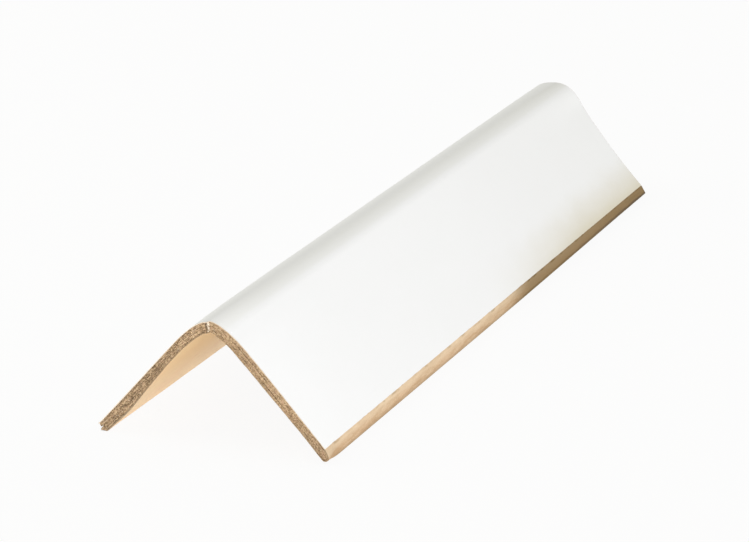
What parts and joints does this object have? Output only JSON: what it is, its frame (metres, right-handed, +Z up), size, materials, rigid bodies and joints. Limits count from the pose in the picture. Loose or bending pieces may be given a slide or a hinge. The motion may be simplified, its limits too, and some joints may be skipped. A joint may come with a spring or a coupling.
{
  "type": "pallet edge protector",
  "caption": "Laminated paperboard angle with a white outer face and a kraft inner face, folded lengthwise to guard the edge of a pallet load under strapping.",
  "frame": {"origin": "middle of the footprint, on the surface that the two long edges rest on", "axes": "+Z up through the fold, +Y along the fold towards the end with the hollow cut, +X towards the leg with the slanted edge"},
  "size_m": [0.067, 0.305, 0.036],
  "materials": {
    "white_paper": "matt white paper",
    "brown_board": "raw cut plies of recycled board",
    "kraft_paper": "matt kraft paper"
  },
  "bodies": {
    "root": {"white_liner": "white_paper", "core_board": "brown_board", "kraft_liner": "kraft_paper"}
  },
  "joints": []
}
